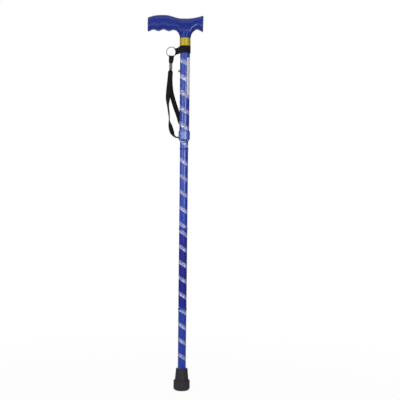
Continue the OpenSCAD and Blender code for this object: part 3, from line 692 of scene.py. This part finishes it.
# Gloss ABS: deep blue with slow changes of tone from the flow in the mould, and a fine parting line
flow_size = 16 * mm
parting_half = 0.35 * mm
parting_rise = 0.12 * mm
abs_blue = mottled("moulded_gloss_abs", flow_size, 3, "#1C2A77", "#263789", (0.12, 0.2),
                   {"Specular IOR Level": 0.32})
tree = abs_blue.node_tree
place = add(tree, "ShaderNodeTexCoord")
axes = add(tree, "ShaderNodeSeparateXYZ", {0: place.outputs["Object"]})
off_centre = add(tree, "ShaderNodeMath", {0: axes.outputs["Y"]}, operation="ABSOLUTE")
parting = add(tree, "ShaderNodeMapRange", {"Value": off_centre.outputs[0], "From Max": parting_half,
                                           "To Min": 1.0, "To Max": 0.0})
bump = add(tree, "ShaderNodeBump", {"Strength": 0.5, "Distance": parting_rise, "Height": parting.outputs[0]})
tree.links.new(bump.outputs[0], tree.nodes["Principled BSDF"].inputs["Normal"])
handle_grain = 0.6 * mm
soften_share = 0.5
soften_passes = 8
handle = copy_of("handle", "moulded_handle", abs_blue)
remesh = handle.modifiers.new("one_skin", "REMESH")
remesh.mode = "VOXEL"
remesh.voxel_size = handle_grain
soften = handle.modifiers.new("soft_edges", "SMOOTH")
soften.factor = soften_share
soften.iterations = soften_passes
whole = bpy.data.meshes.new_from_object(handle.evaluated_get(bpy.context.evaluated_depsgraph_get()))
handle.modifiers.clear()
handle.data = whole
whole.name = "moulded_handle"
whole.shade_smooth()
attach(handle, "upper")
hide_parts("handle")


# Label film: a narrow strip of thin, pale film with round corners. It is stuck with its own glue along the
# front right of the upper tube, below the strap.

# Matt film: off-white, faintly uneven where the glue lies under it
glue_size = 7 * mm
film = mottled("matt_label_film", glue_size, 3, "#C8C9CD", "#D6D7DA", 0.6)
film_t = 0.12
film_gap = 0.01
film_low_r = tube_r + film_gap
film_top_r = tube_r + film_t
film_foot = 661
film_head = 744.6
film_left = math.radians(25)
film_right = math.radians(72)
film_columns = 19
film_slant = 1.6
film_corner = 1.5
rows = []
for a in np.linspace(film_left, film_right, film_columns):
    side = min(a - film_left, film_right - a) * tube_r
    cut = film_corner * (1 - min(1, side / film_corner)) ** 2
    foot = film_foot + cut
    head = film_head + film_slant * (a - film_left) - cut
    section = [(film_low_r, foot), (film_top_r, foot), (film_top_r, head), (film_low_r, head)]
    rows.append([(r * mm * math.sin(a), -r * mm * math.cos(a), z * mm) for r, z in section])
label = skin("label_film", rows, film)
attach(label, "upper")


# Strap round the tube: black webbing goes once round below the gold band, and its two ends are sewn face to
# face into a side tab, folded round the split ring. It bunches along the ring's curve.
def through(points, steps):
    """Catmull-Rom curve through rows of numbers, with that many steps between two of them."""
    rows = np.array(points, float)
    rows = np.vstack([2 * rows[0] - rows[1], rows, 2 * rows[-1] - rows[-2]])
    made = []
    for i in range(1, len(rows) - 2):
        a, b, c, d = rows[i - 1:i + 3]
        for t in np.arange(steps) / steps:
            bow = a - 2.5 * b + 2 * c - d / 2 + t * (1.5 * (b - c) + (d - a) / 2)
            made.append(b + t * ((c - a) / 2 + t * bow))
    return np.array(made + [rows[-2]])


web_t = 1.4
# Section of the webbing, round at its edges, in shares of half its width and of half its thickness
web_columns = np.linspace(-0.94, 0.94, 13)
web_edge = [(0.985, 0.62), (1, 0), (0.985, -0.62)]
web_section = ([(c, 1) for c in web_columns] + web_edge + [(-c, -1) for c in web_columns]
               + [(-c, -t) for c, t in web_edge])

# Woven polyester webbing: near black, matt, with a fine wavy rib across it, painted lighter on its tops and
# darker in its hollows as painted light and shade. The rib is drawn at twice its real spacing so that it
# shows
webbing, tree = blank("woven_black_webbing")
rib = 1.5 * mm
rib_relief = 0.25 * mm
yarn = 0.9 * mm
yarn_shift = 1.2
lay = add(tree, "ShaderNodeUVMap", uv_map="run")
along = add(tree, "ShaderNodeSeparateXYZ", {0: lay.outputs[0]})
across = add(tree, "ShaderNodeMath", {0: along.outputs["Y"], 1: 2 * math.pi / yarn}, operation="MULTIPLY")
thread = add(tree, "ShaderNodeMath", {0: across.outputs[0]}, operation="SINE")
shift = add(tree, "ShaderNodeMath", {0: thread.outputs[0], 1: yarn_shift}, operation="MULTIPLY")
phase = add(tree, "ShaderNodeMath", {0: along.outputs["X"], 1: 2 * math.pi / rib, 2: shift.outputs[0]},
            operation="MULTIPLY_ADD")
rib_wave_and_painted_light = add(tree, "ShaderNodeMath", {0: phase.outputs[0]}, operation="SINE")
share = add(tree, "ShaderNodeMapRange", {"Value": rib_wave_and_painted_light.outputs[0], "From Min": -1.0, "From Max": 1.0})
# Painted light and shade: the rib's tops are painted lighter and its hollows darker
colour = add(tree, "ShaderNodeMix", {0: share.outputs[0], 6: linear("#0E0B10"), 7: linear("#231D25")},
             data_type="RGBA")
bump = add(tree, "ShaderNodeBump", {"Strength": 0.6, "Distance": rib_relief, "Height": share.outputs[0]})
shader = add(tree, "ShaderNodeBsdfPrincipled", {"Base Color": colour.outputs[2], "Roughness": 0.85,
                                                "Specular IOR Level": 0.12, "Sheen Weight": 0.06,
                                                "Sheen Roughness": 0.5, "Normal": bump.outputs[0]})
add(tree, "ShaderNodeOutputMaterial", {"Surface": shader.outputs[0]})

ring_low, ring_high = (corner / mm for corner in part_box("split_ring"))
wire_r = 0.8
ring_x = (ring_low.x + ring_high.x) / 2
ring_z = (ring_low.z + ring_high.z) / 2
ring_r = (ring_high.x - ring_low.x) / 2 - wire_r
ring_reach = ring_x + ring_r
ring_part = 0.95 * ring_r
wrap_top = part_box("strap_band")[1].z / mm
wrap_h = 16.3
wrap_half = wrap_h / 2
wrap_mid = wrap_top - wrap_half
wrap_r = tube_r + press_gap + web_t / 2
leave_angle = 43
ply = 0.78
throat_x = 1
throat_y = 2.6
fold_x = 1.9
fold_y = 2.2
fold_lead = 1.5
fold_half = 7
fold_rise = 1
fold_follow = 2.6
droop_from = 9.5
# Seen from above, one half of the strap goes round the tube, through the throat and along its ply to the fold
front_angles = np.radians(np.linspace(0, 180 - leave_angle, 12))
front = [(wrap_r * math.cos(a), -wrap_r * math.sin(a)) for a in front_angles]
throat = [(-wrap_r - throat_x, -throat_y), (-wrap_r - throat_y, -ply),
          (ring_reach + fold_x + fold_lead, -ply)]
fold = [(ring_reach + fold_x * math.cos(a), -fold_y * math.sin(a)) for a in np.radians([50, 90, 135])]
half_path = front + throat + fold + [(ring_reach - fold_x, 0)]
strap_path = through(half_path + [(x, -y) for x, y in half_path[-2::-1]], steps=5)[:-1]


def ring_dip(apart):
    """How far the ring's wire has curved back at that distance from its nearest point."""
    return ring_r - math.sqrt(ring_r ** 2 - min(abs(apart), ring_part) ** 2)


rows = []
for i, (x, y) in enumerate(strap_path):
    ahead = Vector(strap_path[(i + 1) % len(strap_path)]) - Vector(strap_path[i - 1])
    face = Vector((ahead.y, -ahead.x, 0)).normalized()
    near = np.interp(-x, (droop_from, -ring_reach), (0, 1))
    near = near * near * (3 - 2 * near)
    half = wrap_half + (fold_half - wrap_half) * near
    middle = wrap_mid + (ring_z + fold_rise - wrap_mid) * near
    row = []
    for c, t in web_section:
        z = middle + c * half
        shift = -min(fold_follow, ring_dip(z - ring_z)) * near ** 2
        row.append(((x + shift + face.x * t * web_t / 2) * mm, (y + face.y * t * web_t / 2) * mm, z * mm))
    rows.append(row)
strap = skin("strap_webbing", rows, webbing, around=True)
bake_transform(strap)
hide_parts("strap_band")


# Split ring: two turns of nickel-plated spring wire pressed flat against each other, with one step where the
# wire passes from the first turn to the second. It hangs in the side tab.
def start_group(name, *sizes):
    """A Geometry Nodes tree with a geometry and named sizes as its inputs, and its input node."""
    group = bpy.data.node_groups.new(name, "GeometryNodeTree")
    group.interface.new_socket("Geometry", in_out="INPUT", socket_type="NodeSocketGeometry")
    for size in sizes:
        group.interface.new_socket(size, in_out="INPUT", socket_type="NodeSocketFloat")
    group.interface.new_socket("Geometry", in_out="OUTPUT", socket_type="NodeSocketGeometry")
    return group, add(group, "NodeGroupInput").outputs


def end_group(group, geometry, material):
    """The end of such a tree: smooth and real geometry with its material."""
    smooth = add(group, "GeometryNodeSetShadeSmooth", {"Geometry": geometry})
    real = add(group, "GeometryNodeRealizeInstances", {"Geometry": smooth.outputs[0]})
    finished = add(group, "GeometryNodeSetMaterial", {"Geometry": real.outputs[0], "Material": material})
    add(group, "NodeGroupOutput", {0: finished.outputs[0]})


def baked(source, name, group, sizes):
    """What a node group makes of an object at those sizes, as a plain piece; the source is removed."""
    modifier = source.modifiers.new(group.name, "NODES")
    modifier.node_group = group
    for item in group.interface.items_tree:
        if item.in_out == "INPUT" and item.name in sizes:
            modifier[item.identifier] = sizes[item.name]
    mesh = bpy.data.meshes.new_from_object(source.evaluated_get(bpy.context.evaluated_depsgraph_get()))
    mesh.name = name
    bpy.data.objects.remove(source)
    return put(name, mesh)


# Nickel plating: pale, bright metal with very faint drawing marks
mark_size = 0.6 * mm
nickel = mottled("nickel_plated_wire", mark_size, 2, "#777772", "#9C9C97", (0.12, 0.28), {"Metallic": 1.0})
ring_turns = 1.93
ring_points = 72
wire_sides = 12
# Between these shares of its length the wire steps over to the second turn
step_from = 0.485
step_to = 0.515
step_half = 0.8 * wire_r
ends_at = math.radians(205)
coil, sizes = start_group("split_ring_coil", "Ring radius", "Wire radius", "Turn offset")
turns = add(coil, "GeometryNodeCurveSpiral", {
    "Resolution": ring_points, "Rotations": ring_turns, "Height": 0.0,
    "Start Radius": sizes["Ring radius"], "End Radius": sizes["Ring radius"]})
way = add(coil, "GeometryNodeSplineParameter")
step = add(coil, "ShaderNodeMapRange", {"Value": way.outputs["Factor"], "From Min": step_from,
                                        "From Max": step_to, "To Min": -1.0, "To Max": 1.0},
           interpolation_type="SMOOTHSTEP")
lift = add(coil, "ShaderNodeMath", {0: step.outputs[0], 1: sizes["Turn offset"]}, operation="MULTIPLY")
raised = add(coil, "ShaderNodeCombineXYZ", {"Z": lift.outputs[0]})
pressed = add(coil, "GeometryNodeSetPosition", {"Geometry": turns.outputs[0], "Offset": raised.outputs[0]})
wire = add(coil, "GeometryNodeCurvePrimitiveCircle", {"Resolution": wire_sides,
                                                      "Radius": sizes["Wire radius"]})
bent = add(coil, "GeometryNodeCurveToMesh", {"Curve": pressed.outputs[0], "Profile Curve": wire.outputs[0],
                                             "Fill Caps": True})
end_group(coil, bent.outputs[0], nickel)
ring_sizes = {"Ring radius": ring_r * mm, "Wire radius": wire_r * mm, "Turn offset": step_half * mm}
ring_source = put("split_ring_source", bpy.data.meshes.new("split_ring_source"))
ring = baked(ring_source, "split_ring_wire", coil, ring_sizes)
ring.data.transform(Matrix.Translation((ring_x * mm, 0, ring_z * mm))
                    @ Matrix.Rotation(math.radians(90), 4, "X") @ Matrix.Rotation(ends_at, 4, "Z"))
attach(ring, "ring")
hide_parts("split_ring")


# Strap tab: a short piece of the same webbing folded round the foot of the ring. Its two layers are gathered
# below into the metal crimp.
tab_top = ring_z - ring_r
crimp_low, crimp_high = (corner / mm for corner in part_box("strap_crimp"))
crimp_x = (crimp_low.x + crimp_high.x) / 2
tab_foot = crimp_high.z
tab_tuck = 5.5
tab_end = tab_foot - tab_tuck
tab_neck = 4.5
tab_fold_y = 2.2
tab_fold_z = 2
pleat_depth = 0.45
pleat_run = 4
pleat_waves = 2.5
# Height and half width, from the fold down
tab_widths = through([(tab_top + 3, 5.6), (tab_top - 6, 5.5), (tab_foot + 4, 5), (tab_foot + 1.5, 4.1),
                      (tab_foot, 2.5), (tab_end, 2.5)], steps=6)[::-1]
layer = [(-ply, z) for z in np.linspace(tab_end, tab_top - tab_neck, 14)]
fold = [(-tab_fold_y * math.cos(a), tab_top + tab_fold_z * math.sin(a))
        for a in np.radians([-30, 0, 45, 90])]
half_path = layer + fold
tab_path = through(half_path + [(-y, z) for y, z in half_path[-2::-1]], steps=4)
rows = []
for i, (y, z) in enumerate(tab_path):
    ahead = Vector(tab_path[min(i + 1, len(tab_path) - 1)]) - Vector(tab_path[max(i - 1, 0)])
    face = Vector((-ahead.y, ahead.x)).normalized()
    half = np.interp(z, tab_widths[:, 0], tab_widths[:, 1])
    near = np.interp(z, (tab_foot, tab_top), (0, 1))
    gather = (1 - near) * np.interp(z, (tab_end, tab_end + pleat_run), (0, pleat_depth))
    row = []
    for c, t in web_section:
        x = c * half
        pleat = gather * math.cos(pleat_waves * math.pi * c) * math.copysign(1, y)
        row.append(((crimp_x + (ring_x - crimp_x) * near + x) * mm,
                    (y + pleat + face.x * t * web_t / 2) * mm,
                    (z + ring_dip(x) * near ** 2 + face.y * t * web_t / 2) * mm))
    rows.append(row)
tab = skin("strap_tab_webbing", rows, webbing)
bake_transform(tab)
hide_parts("strap_tab")


# Crimp: a sleeve of tinned sheet metal pressed flat round the tab and the two ends of the wrist loop, with
# two dents from the pliers across it.

# Tinned sheet: dull grey-beige metal, rubbed brighter in places
rub_size = 1.4 * mm
tin = mottled("pressed_tinned_sheet", rub_size, 3, "#646158", "#807C73", (0.3, 0.5), {"Metallic": 0.9})
crimp_half_x = (crimp_high.x - crimp_low.x) / 2
crimp_half_y = crimp_high.y
crimp_h = crimp_high.z - crimp_low.z
crimp_wall = 0.6
# Shares of the crimp's height: its two dents, their half width and the flared end
dents = (0.3, 0.7)
dent_half = 0.06
flare_run = 0.08
dent_depth = 0.35
flare_out = 0.12
# Powers that make a flat oblong of a circle, across and through
square_x = 0.45
square_y = 0.6
sleeve_points = 40
sleeve_rows = 33
outer = []
inner = []
for share in np.linspace(0, 1, sleeve_rows):
    z = crimp_low.z + share * crimp_h
    dent = dent_depth * sum(math.exp(-((share - d) / dent_half) ** 2) for d in dents)
    flare = flare_out * (max(0, abs(share - 0.5) - 0.5 + flare_run) / flare_run) ** 2
    for loop, inset in ((outer, 0), (inner, crimp_wall)):
        row = []
        for a in round_angles(sleeve_points):
            c, s = math.cos(a), math.sin(a)
            x = math.copysign(abs(c) ** square_x, c) * (crimp_half_x - inset + flare)
            y = math.copysign(abs(s) ** square_y, s) * (crimp_half_y - inset - dent + flare)
            row.append(((crimp_x + x) * mm, y * mm, z * mm))
        loop.append(row)
crimp = skin("crimp_sleeve", outer + inner[::-1], tin, around=True)
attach(crimp, "strap")
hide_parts("strap_crimp")


# Wrist loop: one length of webbing that leaves the crimp in two layers, hangs beside the tube, twists edge on
# and comes up again behind the lock nut and the tube.
loop_w = 10.6
loop_route = [
    # across from the crimp, back from it, down from it, turn of the webbing about its own run in degrees and
    # share of the width
    (0, -0.85, -5.5, 0, 0.46), (0, -0.95, 0.2, 0, 0.48), (-0.7, -1.2, 4.4, 0, 0.96),
    (-1.2, -1.4, 12, 0, 1), (-2.1, -1.5, 23, 0, 1), (-3.7, -1.5, 38, 2, 1), (-4.9, -1.3, 52, 6, 1),
    (-5.5, -0.9, 61, 14, 1), (-5.7, -0.2, 68.5, 40, 1), (-5.6, 0.6, 76, 62, 1), (-4.6, 1.6, 86, 73, 1),
    (-3.2, 2.9, 96, 75, 1), (-2.2, 4.4, 108, 83, 1), (-1.9, 5.6, 115, 77, 1), (-0.6, 6.9, 121.5, 52, 1),
    (1.4, 8.6, 129.5, 25, 1), (3.9, 11, 137.5, 22, 1), (7.4, 13.8, 145, 62, 1),
    (12.4, 16.4, 149.2, 79, 1), (18, 18.2, 150, 80, 1), (25, 19.8, 148.4, 76, 1),
    (30.6, 20.8, 142.8, 56, 1), (32.4, 21, 135, 36, 1), (29.8, 20.4, 125, 16, 1), (23, 18.6, 116, 2, 1),
    (18.8, 16.6, 103, 0, 1), (13.9, 13.6, 89.5, 0, 1), (9.1, 10.6, 76, 0, 1), (4.8, 7.6, 62, 0, 1),
    (1.9, 5.4, 51, 0, 1), (-0.1, 3.9, 38, 0, 1), (-1, 2.7, 23, 0, 1), (-0.8, 1.9, 12, 0, 1),
    (-0.3, 1.4, 4.4, 0, 0.96), (0, 0.95, 0.2, 0, 0.48), (0, 0.85, -5.5, 0, 0.46),
]
route = through(loop_route, steps=10)
rows = []
for i, (across_x, back, down, turn, share) in enumerate(route):
    before = route[max(0, i - 1)]
    after = route[min(len(route) - 1, i + 1)]
    run = Vector((after[0] - before[0], before[2] - after[2])).normalized()
    cos, sin = math.cos(math.radians(turn)), math.sin(math.radians(turn))
    across = Vector((run.y * cos, sin, -run.x * cos))
    face = Vector((-run.y * sin, cos, run.x * sin))
    centre = Vector((crimp_x + across_x, back, crimp_low.z - down))
    rows.append([(centre + across * c * share * loop_w / 2 + face * t * web_t / 2) * mm
                 for c, t in web_section])
wrist = skin("wrist_loop_webbing", rows, webbing)
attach(wrist, "strap")
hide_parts("wrist_loop")


# Stitching: black polyester thread, sewn in rows through both layers of the side tab and in one row across
# the tab below the ring.

# Twisted polyester thread: a little shinier and paler than the webbing
twist_size = 0.5 * mm
thread_black = mottled("twisted_polyester_thread", twist_size, 1, "#1B181D", "#3A353C", 0.5)
stitch_sizes = {"Spacing": 2.1 * mm, "Thread radius": 0.28 * mm, "Stitch half": 0.85 * mm}
sewn, sizes = start_group("stitch_rows", *stitch_sizes)
holes = add(sewn, "GeometryNodeCurveToPoints", {"Curve": sizes["Geometry"], "Length": sizes["Spacing"]},
            mode="LENGTH")
stitch = add(sewn, "GeometryNodeMeshUVSphere", {"Segments": 8, "Rings": 6, "Radius": 1.0})
bulk = add(sewn, "ShaderNodeCombineXYZ", {"X": sizes["Thread radius"], "Y": sizes["Thread radius"],
                                          "Z": sizes["Stitch half"]})
laid = add(sewn, "GeometryNodeInstanceOnPoints", {
    "Points": holes.outputs["Points"], "Instance": stitch.outputs["Mesh"],
    "Rotation": holes.outputs["Rotation"], "Scale": bulk.outputs[0]})
end_group(sewn, laid.outputs[0], thread_black)


def stitches(name, lines):
    """Rows of stitches along straight lines, in millimetres."""
    curve = bpy.data.curves.new(name, "CURVE")
    curve.dimensions = "3D"
    for line in lines:
        spline = curve.splines.new("POLY")
        spline.points.add(len(line) - 1)
        for point, place in zip(spline.points, line):
            point.co = (*(Vector(place) * mm), 1)
    return baked(put(name + "_rows", curve), name, sewn, stitch_sizes)


sides = (-1, 1)
sewn_face = ply + web_t / 2
sewn_half = 6.2
sewn_rise = 2.4
sewn_mid = ring_z + sewn_rise
sewn_out = (3.3, 4.7)
side_lines = [[(-wrap_r - out, side * sewn_face, sewn_mid + end * sewn_half) for end in sides]
              for out in sewn_out for side in sides]
side_seam = stitches("side_tab_stitches", side_lines)
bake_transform(side_seam)
seam_drop = 6
seam_half = 4.2
seam_z = tab_top - seam_drop
tab_lines = [[(ring_x + end * seam_half, side * sewn_face, seam_z) for end in sides] for side in sides]
tab_seam = stitches("ring_tab_stitches", tab_lines)
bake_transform(tab_seam)
